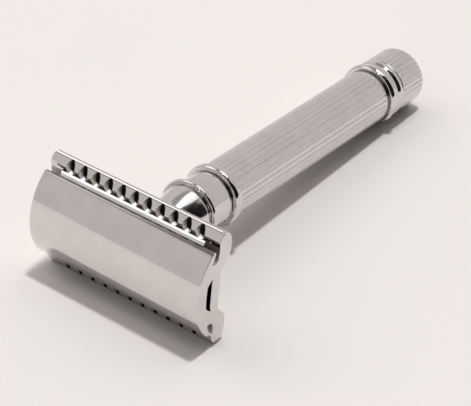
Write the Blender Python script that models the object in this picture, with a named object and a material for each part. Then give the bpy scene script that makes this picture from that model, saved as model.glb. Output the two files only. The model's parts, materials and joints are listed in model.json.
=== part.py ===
"""Three-piece double-edge safety razor, lying on its guard and its knob.

Every piece is drawn in the razor's own frame: X runs along the head, Y runs along the
handle from the head to the knob, and Z runs across the head. A root empty then tips the
whole razor into the pose it rests in, with the floor at world Z = 0.
"""
import math

import bmesh
import bpy
from mathutils import Matrix, Vector

MM = 0.001
GAP = 0.05                       # clearance between two touching pieces, mm

# Head, mm
HEAD_LENGTH = 44.0
CAP_HALF_WIDTH = 10.2
CAP_CROWN = 4.4
CAP_LIP = 0.75                   # height of the cap's long edges
LUG_INNER = 4.6                  # end lugs that close the cap over the blade's tabs
LUG_OUTER = 7.3
LUG_THICKNESS = 0.38
SEAM_LEVEL = 0.6                 # where the end lugs meet the base plate

BLADE_LENGTH = 43.0
BLADE_EDGE_LENGTH = 37.2
BLADE_HALF_WIDTH = 10.9
BLADE_TAB_HALF_WIDTH = 6.3
BLADE_THICKNESS = 0.1
BLADE_TOP = -1.1                 # level of the blade's middle line
BLADE_BEND = 25.0                # radius the clamped blade is bent to

GUARD_HALF_WIDTH = 13.85
SLOT_COUNT = 11
SLOT_PITCH = 3.37
SLOT_WIDTH = 2.4
SLOT_INNER = 10.35
SLOT_OUTER = 13.05
SEAT_LEVEL = 3.0                 # underside of the base plate, where the handle seats

STUD_RADIUS = 2.4                # M5 thread crest, slightly under size
STUD_ROOT = 1.95
THREAD_PITCH = 0.8
STUD_END = 12.2
PIN_RADIUS = 1.3
PIN_SPACING = 9.5

# Handle, mm along the handle from the plane of the cap's long edges
NECK_RADIUS = 4.4
INSERT_BORE = 3.2
INSERT_RADIUS = 3.15
INSERT_END = 13.95
BEAD_START = 13.7
BEAD_END = 20.4
BEAD_BELLY = 23.0                # level at which the bead's curve would run parallel to the handle
BEAD_RADIUS = 6.5                # its radius there
BEAD_BULGE = 22.0                # radius of that curve
COLLAR_START = 20.8
COLLAR_END = 28.35
COLLAR_RADIUS = 6.15             # of the plain band behind the collar's rim
RIM_END = 21.8
RIM_RADIUS = 7.27
GRIP_RING_START = 28.65
GRIP_RING_RADIUS = 7.25
ROUND_DROP = 0.6                 # how much lower a rounded rim is at its ends than in its middle
GRIP_START = 30.6
GRIP_END = 88.45
GRIP_RADIUS = 6.43
GRIP_BORE = 4.6
GRIP_FLUTES = 32
KNOB_RING_START = 89.1
KNOB_START = 94.3
KNOB_END = 103.9
KNOB_RADIUS = 6.95
KNOB_FLUTES = 36
FLUTE_DEPTH = 0.3
FRONT_SPACER_RADIUS = 6.1
COLLAR_SPACER_RADIUS = 5.9
REAR_SPACER_RADIUS = 6.2
BUSH_LENGTH = 6.0                # how far each bush reaches into the grip
NUT_WIDTH = 7.0                  # across the flats
WASHER_RADIUS = 4.2
ROD_RADIUS = 2.0
ROD_START = 14.4
ROD_END = 99.0

ROUND = 48                       # facets round a turned piece
FINE_ROUND = 24                  # facets round a small or hidden piece
STUD_ROUND = 16                  # facets round the threaded stud
THREAD_ROWS = 3                  # rows of vertices in one thread pitch

# One groove and one land, as (share of the pitch, share of the depth)
FLUTE_SHAPE = ((0.0, 0.0), (0.46, 0.0), (0.73, 1.0))


def clear_scene():
    for obj in list(bpy.data.objects):
        bpy.data.objects.remove(obj, do_unlink=True)


def make_material(name, colour, roughness, metallic):
    material = bpy.data.materials.new(name)
    material.use_nodes = True
    shader = material.node_tree.nodes["Principled BSDF"]
    shader.inputs["Base Color"].default_value = (*colour, 1.0)
    shader.inputs["Roughness"].default_value = roughness
    shader.inputs["Metallic"].default_value = metallic
    material.diffuse_color = (*colour, 1.0)
    return material


def add_piece(name, bm, origin, root, finish, smooth_angle=30.0):
    """Turn a bmesh drawn in millimetres into a named object that hangs from the root."""
    bmesh.ops.recalc_face_normals(bm, faces=bm.faces)
    bmesh.ops.translate(bm, verts=bm.verts, vec=-Vector(origin))
    bmesh.ops.scale(bm, verts=bm.verts, vec=(MM, MM, MM))
    mesh = bpy.data.meshes.new(name)
    bm.to_mesh(mesh)
    bm.free()
    mesh.shade_smooth()
    mesh.set_sharp_from_angle(angle=math.radians(smooth_angle))
    obj = bpy.data.objects.new(name, mesh)
    bpy.context.collection.objects.link(obj)
    obj.parent = root
    obj.location = Vector(origin) * MM
    if finish is not None:
        mesh.materials.append(make_material(name + "_finish", *finish))
    return obj


def add_cutter(name, bm, root):
    """A helper body for a Boolean; it is never rendered or exported."""
    cutter = add_piece(name, bm, (0.0, 0.0, 0.0), root, None)
    cutter.hide_render = True
    cutter.display_type = 'WIRE'
    return cutter


def boolean(obj, operation, other):
    modifier = obj.modifiers.new(other.name, 'BOOLEAN')
    modifier.operation = operation
    modifier.solver = 'EXACT'
    modifier.object = other


def revolve(outline, segments, flutes=0):
    """Turn (y, radius[, groove depth]) points about the handle axis.

    An outline that touches the axis at both ends gives a solid piece; any other outline is
    taken as a closed loop and gives a ring.
    """
    bm = bmesh.new()
    if flutes:
        turns = [(i + share) / flutes for i in range(flutes) for share, _ in FLUTE_SHAPE]
        cuts = [cut for _ in range(flutes) for _, cut in FLUTE_SHAPE]
    else:
        turns = [i / segments for i in range(segments)]
        cuts = [0.0] * segments
    rows = []
    for y, radius, *depth in outline:
        if radius < 1e-6:
            rows.append([bm.verts.new((0.0, y, 0.0))])
            continue
        row = []
        for turn, cut in zip(turns, cuts):
            reach = radius - cut * (depth[0] if depth else 0.0)
            angle = 2.0 * math.pi * turn - math.pi / 2.0
            row.append(bm.verts.new((reach * math.cos(angle), y, reach * math.sin(angle))))
        rows.append(row)
    closed = len(rows[0]) > 1
    pairs = list(zip(rows, rows[1:] + rows[:1])) if closed else list(zip(rows, rows[1:]))
    count = len(turns)
    for one, two in pairs:
        for i in range(count):
            j = (i + 1) % count
            corners = []
            corners += [one[0]] if len(one) == 1 else [one[i], one[j]]
            corners += [two[0]] if len(two) == 1 else [two[j], two[i]]
            bm.faces.new(corners)
    return bm


def ring(start, end, bore, radius):
    """Outline of a plain ring."""
    return [(start, bore), (start, radius), (end, radius), (end, bore)]


def extrude(bm, outline, x_from, x_to):
    """Add the (y, z) outline to the bmesh as a prism between two X positions."""
    near = [bm.verts.new((x_from, y, z)) for y, z in outline]
    far = [bm.verts.new((x_to, y, z)) for y, z in outline]
    bm.faces.new(near)
    bm.faces.new(list(reversed(far)))
    for i in range(len(outline)):
        j = (i + 1) % len(outline)
        bm.faces.new((near[j], near[i], far[i], far[j]))


def add_post(bm, x, z, radius_x, radius_z, y_from, y_to, segments):
    """Add an upright elliptical post, whose axis runs along the handle direction."""
    low = []
    high = []
    for i in range(segments):
        angle = 2.0 * math.pi * (i + 0.5) / segments
        px = x + radius_x * math.cos(angle)
        pz = z + radius_z * math.sin(angle)
        low.append(bm.verts.new((px, y_from, pz)))
        high.append(bm.verts.new((px, y_to, pz)))
    bm.faces.new(low)
    bm.faces.new(list(reversed(high)))
    for i in range(segments):
        j = (i + 1) % segments
        bm.faces.new((low[i], high[i], high[j], low[j]))


def blade_level(z):
    """Level of the bent blade's middle surface at a distance from the centre line."""
    return BLADE_TOP + BLADE_BEND - math.sqrt(BLADE_BEND ** 2 - z ** 2)


def spread(start, end, count):
    return [start + (end - start) * i / (count - 1) for i in range(count)]


def arc(centre, radius, start, end, count):
    """Points of a circular arc in the (y, z) plane; angles in degrees from +Y to +Z."""
    return [(centre[0] + radius * math.cos(math.radians(a)),
             centre[1] + radius * math.sin(math.radians(a)))
            for a in spread(start, end, count)]


def mirror_outline(half):
    """Close an outline given for z >= 0, from the centre line back to the centre line."""
    other = [(y, -z) for y, z in reversed(half) if z > 1e-6]
    return half + other


# Head ------------------------------------------------------------------------------------

def cap_outline():
    radius = (CAP_HALF_WIDTH ** 2 + CAP_CROWN ** 2) / (2.0 * CAP_CROWN)
    reach = math.degrees(math.asin(CAP_HALF_WIDTH / radius))
    outer = arc((radius - CAP_CROWN, 0.0), radius, 180.0, 180.0 - reach, 15)
    lip = [(0.35, CAP_HALF_WIDTH - 0.02), (0.62, CAP_HALF_WIDTH - 0.16)]
    rise = BLADE_THICKNESS / 2.0 + GAP
    under = [(blade_level(z) - rise, z) for z in spread(CAP_HALF_WIDTH - 0.5, 0.0, 10)]
    return mirror_outline(outer + lip + under)


def build_cap(root, finish):
    half = HEAD_LENGTH / 2.0
    bm = bmesh.new()
    extrude(bm, cap_outline(), -half, half)
    cap = add_piece("cap", bm, (0.0, 0.0, 0.0), root, finish, 35.0)
    bevel = cap.modifiers.new("soft_ends", 'BEVEL')
    bevel.width = 0.22 * MM
    bevel.segments = 2
    bevel.limit_method = 'ANGLE'
    bevel.angle_limit = math.radians(60.0)

    bm = bmesh.new()
    for side in (-1.0, 1.0):
        for across in (-1.0, 1.0):
            outline = [(-1.6, across * LUG_INNER), (SEAM_LEVEL - GAP, across * LUG_INNER),
                       (SEAM_LEVEL - GAP, across * LUG_OUTER), (-1.6, across * LUG_OUTER)]
            extrude(bm, outline, side * (half - LUG_THICKNESS), side * (half - 0.02))
    add_post(bm, 0.0, 0.0, 3.0, 3.0, -2.0, 0.2, FINE_ROUND)
    boolean(cap, 'UNION', add_cutter("cap_lugs_and_boss", bm, root))

    bm = bmesh.new()
    add_post(bm, 0.0, 0.0, STUD_ROOT + GAP, STUD_ROOT + GAP, -2.9, 0.6, FINE_ROUND)
    for side in (-1.0, 1.0):
        reach = PIN_RADIUS + GAP
        add_post(bm, side * PIN_SPACING, 0.0, reach, reach, -2.9, 0.6, 20)
    boolean(cap, 'DIFFERENCE', add_cutter("cap_sockets", bm, root))


def build_stud(root, finish):
    """Threaded stud: a plain shank that carries one helical ridge, faded out at both ends."""
    angles = [2.0 * math.pi * i / STUD_ROUND for i in range(STUD_ROUND)]
    start, end = SEAT_LEVEL - 0.6, STUD_END - 0.8
    steps = int(round((end - start) / THREAD_PITCH * THREAD_ROWS))
    bm = bmesh.new()
    rows = []

    def add_row(y, reach_at):
        rows.append([bm.verts.new((reach_at(a) * math.cos(a), y, reach_at(a) * math.sin(a)))
                     for a in angles])

    add_row(-2.85, lambda a: STUD_ROOT)
    for step in range(steps + 1):
        y = start + step * THREAD_PITCH / THREAD_ROWS
        height = (STUD_RADIUS - STUD_ROOT) * min(1.0, step / THREAD_ROWS, (steps - step) / THREAD_ROWS)

        def reach_at(a):
            phase = (y / THREAD_PITCH + a / (2.0 * math.pi)) % 1.0
            return STUD_ROOT + height * (1.0 - 2.0 * abs(phase - 0.5))

        add_row(y, reach_at)
    add_row(STUD_END - 0.4, lambda a: STUD_ROOT)
    add_row(STUD_END, lambda a: STUD_ROOT - 0.4)
    bm.faces.new(rows[0])
    bm.faces.new(list(reversed(rows[-1])))
    for one, two in zip(rows, rows[1:]):
        for i in range(STUD_ROUND):
            j = (i + 1) % STUD_ROUND
            bm.faces.new((one[i], two[i], two[j], one[j]))
    add_piece("cap_stud", bm, (0.0, SEAT_LEVEL, 0.0), root, finish, 50.0)


def build_pins(root, finish):
    for name, side in (("cap_pin_left", -1.0), ("cap_pin_right", 1.0)):
        bm = revolve([(-2.8, 0.0), (-2.8, PIN_RADIUS), (2.3, PIN_RADIUS),
                      (2.6, PIN_RADIUS - 0.4), (2.6, 0.0)], 20)
        bmesh.ops.translate(bm, verts=bm.verts, vec=(side * PIN_SPACING, 0.0, 0.0))
        add_piece(name, bm, (side * PIN_SPACING, 0.0, 0.0), root, finish)


def build_blade(root, finish):
    half = BLADE_THICKNESS / 2.0
    across = spread(0.0, BLADE_HALF_WIDTH, 12)
    top = [(blade_level(z) - half, z) for z in across[:-1]]
    bottom = [(blade_level(z) + half, z) for z in reversed(across[:-1])]
    edge = blade_level(BLADE_HALF_WIDTH)
    edges = [(edge - 0.015, BLADE_HALF_WIDTH), (edge + 0.015, BLADE_HALF_WIDTH)]
    bm = bmesh.new()
    extrude(bm, mirror_outline(top + edges + bottom), -BLADE_LENGTH / 2.0, BLADE_LENGTH / 2.0)
    blade = add_piece("blade", bm, (0.0, BLADE_TOP, 0.0), root, finish)

    bm = bmesh.new()
    low, high = BLADE_TOP - 1.0, 3.0
    for side in (-1.0, 1.0):
        for hand in (-1.0, 1.0):
            outline = [(low, hand * BLADE_TAB_HALF_WIDTH), (high, hand * BLADE_TAB_HALF_WIDTH),
                       (high, hand * 13.0), (low, hand * 13.0)]
            extrude(bm, outline, side * BLADE_EDGE_LENGTH / 2.0, side * 24.0)
    boolean(blade, 'DIFFERENCE', add_cutter("blade_notches", bm, root))

    bm = bmesh.new()
    slot = [(low, -1.1), (high, -1.1), (high, 1.1), (low, 1.1)]
    extrude(bm, slot, -16.5, 16.5)
    slots = add_cutter("blade_slot", bm, root)
    bm = bmesh.new()
    add_post(bm, 0.0, 0.0, 3.3, 3.3, low, high, 28)
    for side in (-1.0, 1.0):
        add_post(bm, side * PIN_SPACING, 0.0, 1.75, 1.75, low, high, 20)
        add_post(bm, side * 16.0, 0.0, 1.75, 1.75, low, high, 20)
    boolean(blade, 'DIFFERENCE', slots)
    boolean(blade, 'DIFFERENCE', add_cutter("blade_holes", bm, root))


def plate_outline():
    tip = 0.55
    nose = (3.35, GUARD_HALF_WIDTH - tip)
    half = [(0.35, 0.0), (0.35, LUG_INNER - 0.2), (SEAM_LEVEL, LUG_INNER + 0.05),
            (SEAM_LEVEL, LUG_OUTER), (1.0, LUG_OUTER + 0.1), (1.75, 8.1), (2.0, 9.2),
            (2.0, 10.3), (1.8, 12.0), (2.72, 13.1)]
    half += arc(nose, tip, 130.0, 20.0, 6)
    half += [(4.9, 12.75), (5.35, 12.1), (5.72, 11.2), (5.85, 10.2), (5.85, 8.75),
             (5.4, 7.1), (3.25, 4.85), (SEAT_LEVEL, 4.6), (SEAT_LEVEL, 0.0)]
    return mirror_outline(half)


def build_base_plate(root, finish):
    half = HEAD_LENGTH / 2.0
    bm = bmesh.new()
    extrude(bm, plate_outline(), -half, half)
    plate = add_piece("base_plate", bm, (0.0, SEAT_LEVEL, 0.0), root, finish, 35.0)

    clearance = BLADE_THICKNESS / 2.0 + GAP
    bm = bmesh.new()
    for hand in (-1.0, 1.0):
        outline = [(blade_level(8.4) + clearance, hand * 8.4),
                   (blade_level(9.2) + clearance, hand * 9.2),
                   (blade_level(10.0) + clearance, hand * 10.0), (2.6, hand * 10.0),
                   (2.6, hand * 8.4)]
        extrude(bm, outline, -18.4, 18.4)
    boolean(plate, 'UNION', add_cutter("blade_rests", bm, root))

    bm = bmesh.new()
    middle = (SLOT_INNER + SLOT_OUTER) / 2.0
    for i in range(SLOT_COUNT):
        x = (i - (SLOT_COUNT - 1) / 2.0) * SLOT_PITCH
        for hand in (-1.0, 1.0):
            add_post(bm, x, hand * middle, SLOT_WIDTH / 2.0, (SLOT_OUTER - SLOT_INNER) / 2.0,
                     -1.0, 8.0, 14)
    add_post(bm, 0.0, 0.0, STUD_RADIUS + 0.3, STUD_RADIUS + 0.3, -1.0, 8.0, FINE_ROUND)
    for side in (-1.0, 1.0):
        reach = PIN_RADIUS + 0.15
        add_post(bm, side * PIN_SPACING, 0.0, reach, reach, -1.0, 8.0, 20)
    boolean(plate, 'DIFFERENCE', add_cutter("plate_openings", bm, root))


# Handle ----------------------------------------------------------------------------------

def bead_outline():
    """Plain neck that flares into a round-backed bead, bored for the insert and the tie rod."""
    swell = [(t, BEAD_RADIUS + math.sqrt(BEAD_BULGE ** 2 - (t - BEAD_BELLY) ** 2) - BEAD_BULGE)
             for t in spread(BEAD_START, BEAD_END - 0.35, 7)]
    start = SEAT_LEVEL + GAP
    return ([(start, INSERT_BORE), (start, NECK_RADIUS - 0.2), (start + 0.25, NECK_RADIUS),
             (7.0, NECK_RADIUS), (BEAD_START - 1.0, NECK_RADIUS)] + swell
            + [(BEAD_END, swell[-1][1] - 0.35), (BEAD_END, ROD_RADIUS + GAP),
               (INSERT_END, ROD_RADIUS + GAP), (INSERT_END, INSERT_BORE)])


def rounded_rim(start, end, radius):
    middle = (start + end) / 2.0
    half = (end - start) / 2.0
    return [(t, radius - ROUND_DROP * abs((t - middle) / half) ** 3) for t in spread(start, end, 9)]


def collar_outline():
    """Rounded rim at the bead's end, then a plain band."""
    return ([(COLLAR_START, ROD_RADIUS + GAP)] + rounded_rim(COLLAR_START, RIM_END, RIM_RADIUS)
            + [(RIM_END + 0.05, COLLAR_RADIUS), (COLLAR_END - 0.2, COLLAR_RADIUS),
               (COLLAR_END, COLLAR_RADIUS - 0.15), (COLLAR_END, ROD_RADIUS + GAP)])


def grip_ring_outline():
    start, end = GRIP_RING_START, GRIP_START - GAP
    rim = rounded_rim(start, end, GRIP_RING_RADIUS)
    return [(start, ROD_RADIUS + GAP)] + rim + [(end, ROD_RADIUS + GAP)]


def grip_outline():
    crest, depth = GRIP_RADIUS, FLUTE_DEPTH
    return [(GRIP_START, GRIP_BORE), (GRIP_START, crest - 0.25), (GRIP_START + 0.25, crest),
            (GRIP_START + 1.2, crest, depth), (GRIP_END - 1.2, crest, depth),
            (GRIP_END - 0.25, crest), (GRIP_END, crest - 0.25), (GRIP_END, GRIP_BORE)]


def knob_ring_outline():
    start, end = KNOB_RING_START, KNOB_START - GAP
    return [(start, ROD_RADIUS + GAP), (start, 6.75), (start + 0.25, 7.15),
            (start + 0.7, 7.42), (start + 1.2, 7.45), (start + 1.7, 7.3), (start + 2.2, 7.0),
            (start + 2.7, 6.84), (start + 3.8, 6.84), (start + 4.1, 7.0), (end - 0.2, 7.02),
            (end, 6.85), (end, 4.4), (end - 3.0, 4.4), (end - 3.0, ROD_RADIUS + GAP)]


def knob_outline():
    start, end, crest = KNOB_START, KNOB_END, KNOB_RADIUS
    dome = [(end - 1.7 + 1.7 * math.sin(a), crest - 1.7 + 1.7 * math.cos(a))
            for a in spread(math.radians(25.0), math.radians(90.0), 4)]
    depths = (0.24, 0.1, 0.0, 0.0)
    rounded = [(t, r, d) for (t, r), d in zip(dome, depths)]
    return ([(ROD_END + 0.5, 0.0), (ROD_END + 0.5, ROD_RADIUS + GAP), (start, ROD_RADIUS + GAP),
             (start, crest - 0.2), (start + 0.25, crest), (start + 0.7, crest, FLUTE_DEPTH),
             (end - 1.7, crest, FLUTE_DEPTH)]
            + rounded + [(end, 0.0)])


def hexagon_nut(start, end, flats, bore):
    """Six-sided nut: the outer wall has six corners and the bore is round."""
    bm = revolve([(start, bore), (start, flats / 2.0), (end, flats / 2.0), (end, bore)], 24)
    for v in bm.verts:
        radius = math.hypot(v.co.x, v.co.z)
        if radius > bore + 0.1:
            turn = math.atan2(v.co.z, v.co.x) % (math.pi / 3.0) - math.pi / 6.0
            v.co.x *= 1.0 / math.cos(turn)
            v.co.z *= 1.0 / math.cos(turn)
    return bm


def build_handle(root, chrome, dark, brass, steel):
    bore = ROD_RADIUS + GAP
    ring_end = KNOB_START - GAP

    def turned(name, outline, at, finish, segments=ROUND, flutes=0, angle=30.0):
        add_piece(name, revolve(outline, segments, flutes), (0.0, at, 0.0), root, finish, angle)

    turned("neck_bead", bead_outline(), SEAT_LEVEL + GAP, chrome)
    turned("neck_insert", ring(SEAT_LEVEL + 0.6, INSERT_END - GAP, STUD_RADIUS + 0.15, INSERT_RADIUS),
           SEAT_LEVEL + 0.6, brass, FINE_ROUND)
    turned("front_spacer", ring(BEAD_END + GAP, COLLAR_START - GAP, bore, FRONT_SPACER_RADIUS),
           BEAD_END + GAP, dark, FINE_ROUND)
    turned("collar", collar_outline(), COLLAR_START, chrome)
    turned("collar_spacer", ring(COLLAR_END + GAP, GRIP_RING_START - GAP, bore, COLLAR_SPACER_RADIUS),
           COLLAR_END + GAP, dark, FINE_ROUND)
    turned("grip_ring", grip_ring_outline(), GRIP_RING_START, chrome)
    turned("grip_bush_front", ring(GRIP_START + GAP, GRIP_START + BUSH_LENGTH, bore, GRIP_BORE - GAP),
           GRIP_START + GAP, brass, FINE_ROUND)
    turned("grip_barrel", grip_outline(), GRIP_START, chrome, 0, GRIP_FLUTES, 25.0)
    turned("grip_bush_rear", ring(GRIP_END - BUSH_LENGTH, GRIP_END - GAP, bore, GRIP_BORE - GAP),
           GRIP_END - BUSH_LENGTH, brass, FINE_ROUND)
    turned("rear_spacer", ring(GRIP_END + GAP, KNOB_RING_START - GAP, bore, REAR_SPACER_RADIUS),
           GRIP_END + GAP, dark, FINE_ROUND)
    turned("knob_ring", knob_ring_outline(), KNOB_RING_START, chrome)
    turned("stack_washer", ring(ring_end - 2.95, ring_end - 2.35, bore, WASHER_RADIUS),
           ring_end - 2.95, steel, FINE_ROUND)
    nut = hexagon_nut(ring_end - 2.3, ring_end - 0.2, NUT_WIDTH, bore)
    add_piece("stack_nut", nut, (0.0, ring_end - 2.3, 0.0), root, steel)
    turned("tie_rod", [(ROD_START, 0.0), (ROD_START, ROD_RADIUS - 0.3),
                       (ROD_START + 0.3, ROD_RADIUS), (ROD_END - 0.3, ROD_RADIUS),
                       (ROD_END, ROD_RADIUS - 0.3), (ROD_END, 0.0)],
           ROD_START, steel, FINE_ROUND)
    turned("knob", knob_outline(), KNOB_START, chrome, 0, KNOB_FLUTES, 25.0)


# Resting pose ----------------------------------------------------------------------------

def piece_points(root):
    """Corners of every exported piece, in the root's own frame."""
    points = []
    for obj in root.children:
        if obj.type == 'MESH' and not obj.hide_render:
            points += [obj.location + v.co for v in obj.data.vertices]
    return points


def lay_down(root):
    """Tip the razor on its long axis until the guard and the knob both touch the floor."""
    points = piece_points(root)
    hull = []
    for p in sorted((p.y, p.z) for p in points):
        while len(hull) > 1:
            (y0, z0), (y1, z1) = hull[-2:]
            if (y1 - y0) * (p[1] - z0) - (z1 - z0) * (p[0] - y0) > 0.0:
                break
            hull.pop()
        hull.append(p)
    balance = 40.0 * MM
    touch = next(pair for pair in zip(hull, hull[1:]) if pair[0][0] <= balance <= pair[1][0])
    (y0, z0), (y1, z1) = touch
    tip = Matrix.Rotation(-math.atan2(z1 - z0, y1 - y0), 4, 'X')
    turned = [tip @ p for p in points]
    low = [min(p[k] for p in turned) for k in range(3)]
    high = [max(p[k] for p in turned) for k in range(3)]
    shift = Vector((-(low[0] + high[0]) / 2.0, -(low[1] + high[1]) / 2.0, -low[2]))
    root.matrix_world = Matrix.Translation(shift) @ tip


def main():
    clear_scene()
    root = bpy.data.objects.new("razor", None)
    root.empty_display_size = 0.01
    bpy.context.collection.objects.link(root)

    chrome = ((0.80, 0.79, 0.78), 0.10, 1.0)
    dark = ((0.20, 0.20, 0.20), 0.35, 1.0)
    brass = ((0.74, 0.58, 0.30), 0.35, 1.0)
    steel = ((0.62, 0.62, 0.63), 0.30, 1.0)
    blade_steel = ((0.82, 0.83, 0.84), 0.18, 1.0)

    build_cap(root, chrome)
    build_stud(root, steel)
    build_pins(root, steel)
    build_blade(root, blade_steel)
    build_base_plate(root, chrome)
    build_handle(root, chrome, dark, brass, steel)
    lay_down(root)
    bpy.context.view_layer.update()


main()
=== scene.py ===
import json
import math

import bmesh
import bpy
from mathutils import Matrix, Vector


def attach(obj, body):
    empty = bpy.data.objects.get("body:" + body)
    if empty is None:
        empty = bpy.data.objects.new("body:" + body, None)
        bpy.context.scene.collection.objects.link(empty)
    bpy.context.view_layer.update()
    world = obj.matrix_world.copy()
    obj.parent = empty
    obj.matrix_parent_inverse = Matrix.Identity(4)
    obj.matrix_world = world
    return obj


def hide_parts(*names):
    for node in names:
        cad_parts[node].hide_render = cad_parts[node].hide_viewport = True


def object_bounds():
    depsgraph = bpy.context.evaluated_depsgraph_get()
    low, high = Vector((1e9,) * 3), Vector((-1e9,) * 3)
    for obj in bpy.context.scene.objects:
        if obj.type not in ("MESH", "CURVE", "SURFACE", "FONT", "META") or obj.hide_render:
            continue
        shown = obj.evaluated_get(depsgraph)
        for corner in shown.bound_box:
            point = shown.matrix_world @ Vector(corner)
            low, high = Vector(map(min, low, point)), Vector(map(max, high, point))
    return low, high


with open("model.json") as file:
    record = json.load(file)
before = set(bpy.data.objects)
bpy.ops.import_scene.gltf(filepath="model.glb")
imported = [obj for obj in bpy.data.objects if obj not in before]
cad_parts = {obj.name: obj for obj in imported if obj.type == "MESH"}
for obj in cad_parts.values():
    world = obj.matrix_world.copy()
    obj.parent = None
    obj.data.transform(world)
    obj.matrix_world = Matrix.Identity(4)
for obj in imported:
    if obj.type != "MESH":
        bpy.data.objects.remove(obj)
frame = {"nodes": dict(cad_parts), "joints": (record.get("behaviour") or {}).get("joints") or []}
CAD_LOW, CAD_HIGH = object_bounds()

# The razor's own frame: X along the head, Y along the handle towards the knob, Z across the
# head. Pieces are drawn in it, in millimetres, and RAZOR then carries them to the row frame.
MM = 0.001
SEAT_LEVEL = 3.0                 # where the handle meets the base plate, mm from the frame's origin
TURN = next(j for j in frame["joints"] if j["name"] == "handle_turn")
ALONG = Vector(TURN["axis"]).normalized()
SIDE = Vector((1.0, 0.0, 0.0))
ACROSS = SIDE.cross(ALONG)
HOME = Vector(TURN["pos_m"]) - ALONG * SEAT_LEVEL * MM
RAZOR = Matrix.Translation(HOME) @ Matrix((SIDE, ALONG, ACROSS)).transposed().to_4x4()

RING_SEGMENTS = 144              # facets round a turned piece
FLUTE_STEPS = 12                 # facets across one flute
GAP = 0.05                       # clearance between two touching pieces, mm
FINISHES = 4                     # most finishes that one piece has


def span(node):
    """Lowest and highest corner of a CAD node in the razor's own frame, in mm."""
    to_razor = RAZOR.inverted()
    points = [to_razor @ v.co / MM for v in frame["nodes"][node].data.vertices]
    low = Vector([min(p[k] for p in points) for k in range(3)])
    high = Vector([max(p[k] for p in points) for k in range(3)])
    return low, high


# Shape tools -----------------------------------------------------------------------------

def spread(start, end, count):
    """Evenly spaced numbers, with both ends included."""
    return [start + (end - start) * i / (count - 1) for i in range(count)]


def arc(centre, radius, start, end, count):
    """Points of a circular arc; angles in degrees from the first axis to the second."""
    return [(centre[0] + radius * math.cos(math.radians(a)),
             centre[1] + radius * math.sin(math.radians(a)))
            for a in spread(start, end, count)]


def fillet(corners, steps=6):
    """Round the corners of an open outline given as (a, b, radius) points."""
    outline = []
    for i, (a, b, radius) in enumerate(corners):
        here = Vector((a, b))
        if radius <= 0.0:
            outline.append((a, b))
            continue
        before = Vector(corners[i - 1][:2]) - here
        after = Vector(corners[i + 1][:2]) - here
        half = before.angle(after) / 2.0
        reach = min(radius / math.tan(half), 0.49 * before.length, 0.49 * after.length)
        radius = reach * math.tan(half)
        middle = here + (before.normalized() + after.normalized()).normalized() * radius / math.sin(half)
        first = here + before.normalized() * reach - middle
        last = here + after.normalized() * reach - middle
        sweep = first.angle_signed(last)
        for k in range(steps + 1):
            turned = first.copy()
            turned.rotate(Matrix.Rotation(-sweep * k / steps, 2))
            outline.append(tuple(middle + turned))
    return outline


def mirror_outline(half):
    """Close an outline given for b >= 0, from the centre line back to the centre line."""
    return half + [(a, -b) for a, b in reversed(half) if b > 1e-6]


def skin(bm, rings):
    """Close a stack of vertex rings into a solid: a face at each end and walls in between."""
    bm.faces.new(rings[0])
    bm.faces.new(list(reversed(rings[-1])))
    count = len(rings[0])
    for near, far in zip(rings, rings[1:]):
        for i in range(count):
            j = (i + 1) % count
            bm.faces.new((near[j], near[i], far[i], far[j]))


def extrude(bm, outline, x_from, x_to):
    """Add the (y, z) outline to the bmesh as a prism between two X positions."""
    skin(bm, [[bm.verts.new((x, y, z)) for y, z in outline] for x in (x_from, x_to)])


def shrink(outline, distance):
    """Move every point of a closed outline inwards along its bisector."""
    count = len(outline)
    area = sum(outline[i - 1][0] * outline[i][1] - outline[i][0] * outline[i - 1][1] for i in range(count))
    turn = 1.0 if area > 0.0 else -1.0
    result = []
    for i in range(count):
        here = Vector(outline[i])
        before = (here - Vector(outline[i - 1])).normalized()
        after = (Vector(outline[(i + 1) % count]) - here).normalized()
        along = (before + after).normalized()
        inward = Vector((-along.y, along.x)) * turn
        result.append(tuple(here + inward * distance))
    return result


def extrude_rounded(bm, outline, half_length, radius, steps=4):
    """Add the (y, z) outline as a prism centred on X = 0 whose end edges are rounded."""
    sections = [(-half_length + radius * (1.0 - math.sin(a)), radius * (1.0 - math.cos(a)))
                for a in spread(math.radians(90.0), 0.0, steps + 1)]
    sections += [(-x, inset) for x, inset in reversed(sections)]
    rings = []
    for x, inset in sections:
        shape = shrink(outline, inset) if inset > 1e-6 else outline
        rings.append([bm.verts.new((x, y, z)) for y, z in shape])
    skin(bm, rings)


def add_loft(bm, x, levels, segments, finishes):
    """Join elliptical rings, given as (y, z, radius in x, radius in z), into a closed post."""
    rings = []
    for y, z, radius_x, radius_z in levels:
        ring = []
        for i in range(segments):
            a = 2.0 * math.pi * i / segments
            ring.append(bm.verts.new((x + radius_x * math.cos(a), y, z + radius_z * math.sin(a))))
        rings.append(ring)
    bm.faces.new(rings[0])
    bm.faces.new(list(reversed(rings[-1]))).material_index = finishes[-1]
    for low, high, finish in zip(rings, rings[1:], finishes):
        for i in range(segments):
            j = (i + 1) % segments
            bm.faces.new((low[i], high[i], high[j], low[j])).material_index = finish


def add_post(bm, x, radius, y_from, y_to, segments=48):
    """Add a round post on the head's centre line, with its axis along the handle direction."""
    add_loft(bm, x, [(y_from, 0.0, radius, radius), (y_to, 0.0, radius, radius)], segments, (0,))


def add_corner(bm, x, z, radius, y_from, y_to):
    """Add a block that rounds off the corner at (x, z) when it is cut away."""
    side = math.copysign(1.0, x)
    hand = math.copysign(1.0, z)
    out = 0.5
    shape = [(x - side * (radius - radius * math.sin(math.radians(a))),
              z - hand * (radius - radius * math.cos(math.radians(a)))) for a in spread(0.0, 90.0, 9)]
    shape += [(x + side * out, z - hand * radius), (x + side * out, z + hand * out),
              (x - side * radius, z + hand * out)]
    skin(bm, [[bm.verts.new((a, y, b)) for a, b in shape] for y in (y_from, y_to)])


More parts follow.
